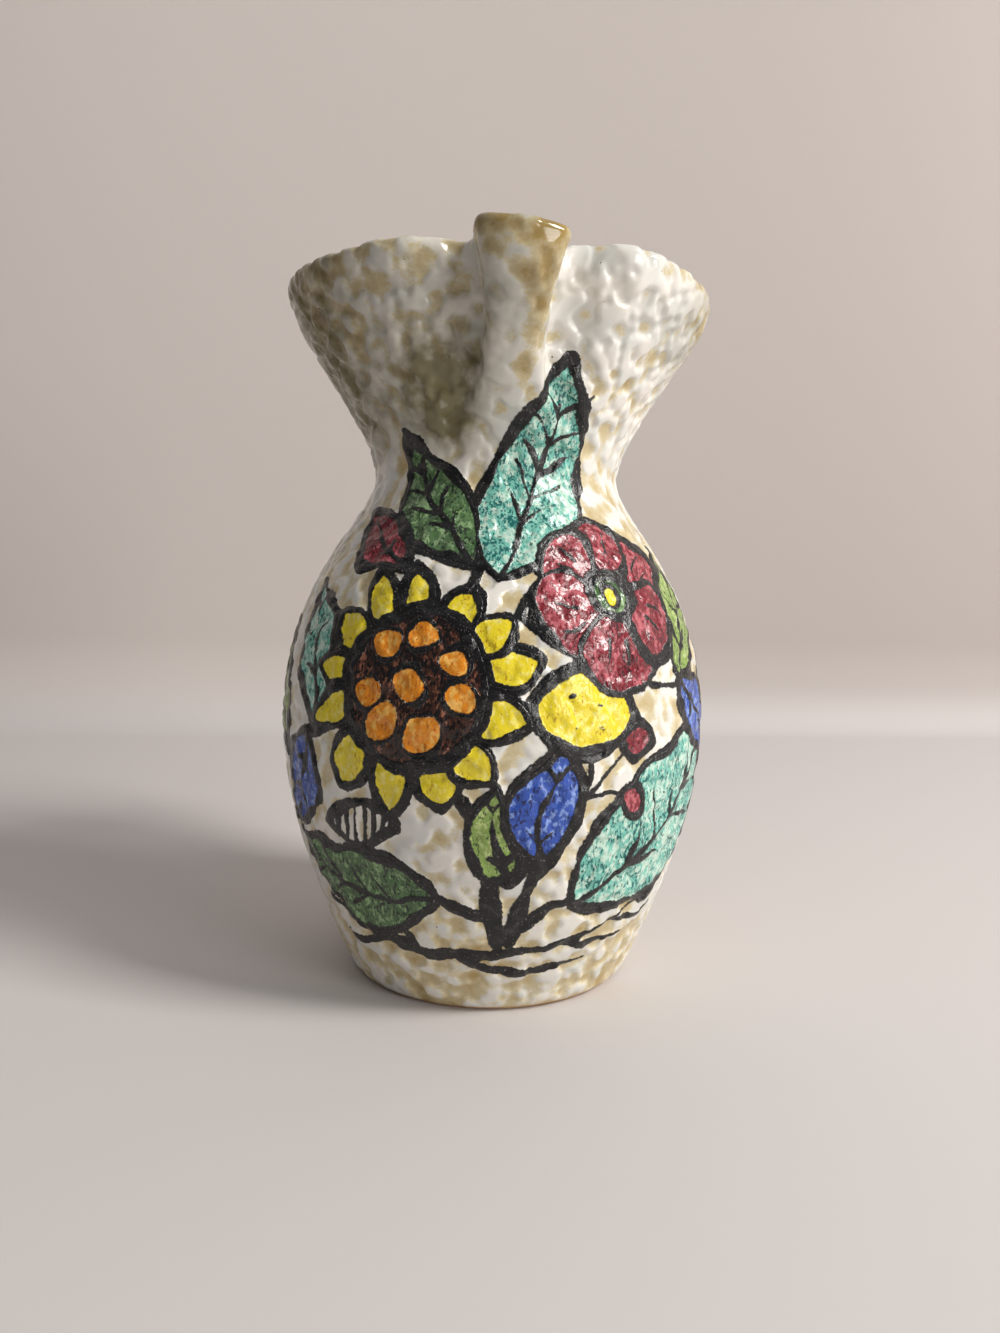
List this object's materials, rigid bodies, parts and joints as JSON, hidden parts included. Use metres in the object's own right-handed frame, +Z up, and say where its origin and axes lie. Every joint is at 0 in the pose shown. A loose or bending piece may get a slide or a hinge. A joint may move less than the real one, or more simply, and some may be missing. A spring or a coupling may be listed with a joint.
{
  "type": "pitcher",
  "caption": "Tall round-bellied glazed pitcher with a narrow waist, a flared round mouth, a pulled pouring gutter at the front and a strap handle at the back.",
  "frame": {"origin": "centre of the foot ring's underside, on the table", "axes": "+Z up along the axis of the thrown body; -Y towards the pouring gutter; +Y towards the handle; +X to the right as seen from the gutter's side"},
  "size_m": [0.181, 0.2264, 0.2908],
  "materials": {
    "speckled_glaze": "glossy white glaze that has crawled into lumps over a straw-coloured ground",
    "painted_glaze": "the same lumpy glossy glaze with bright enamel painting in thick rough black outlines",
    "bare_clay": "unglazed buff earthenware, turned"
  },
  "bodies": {
    "root": {"foot_ring": "speckled_glaze", "base_disc": "bare_clay", "belly_wall": "painted_glaze", "shoulder_wall": "painted_glaze", "mouth_wall": "painted_glaze", "pouring_gutter": "painted_glaze", "handle_strap": "speckled_glaze", "handle_upper_root": "speckled_glaze", "handle_lower_root": "speckled_glaze"}
  },
  "joints": []
}
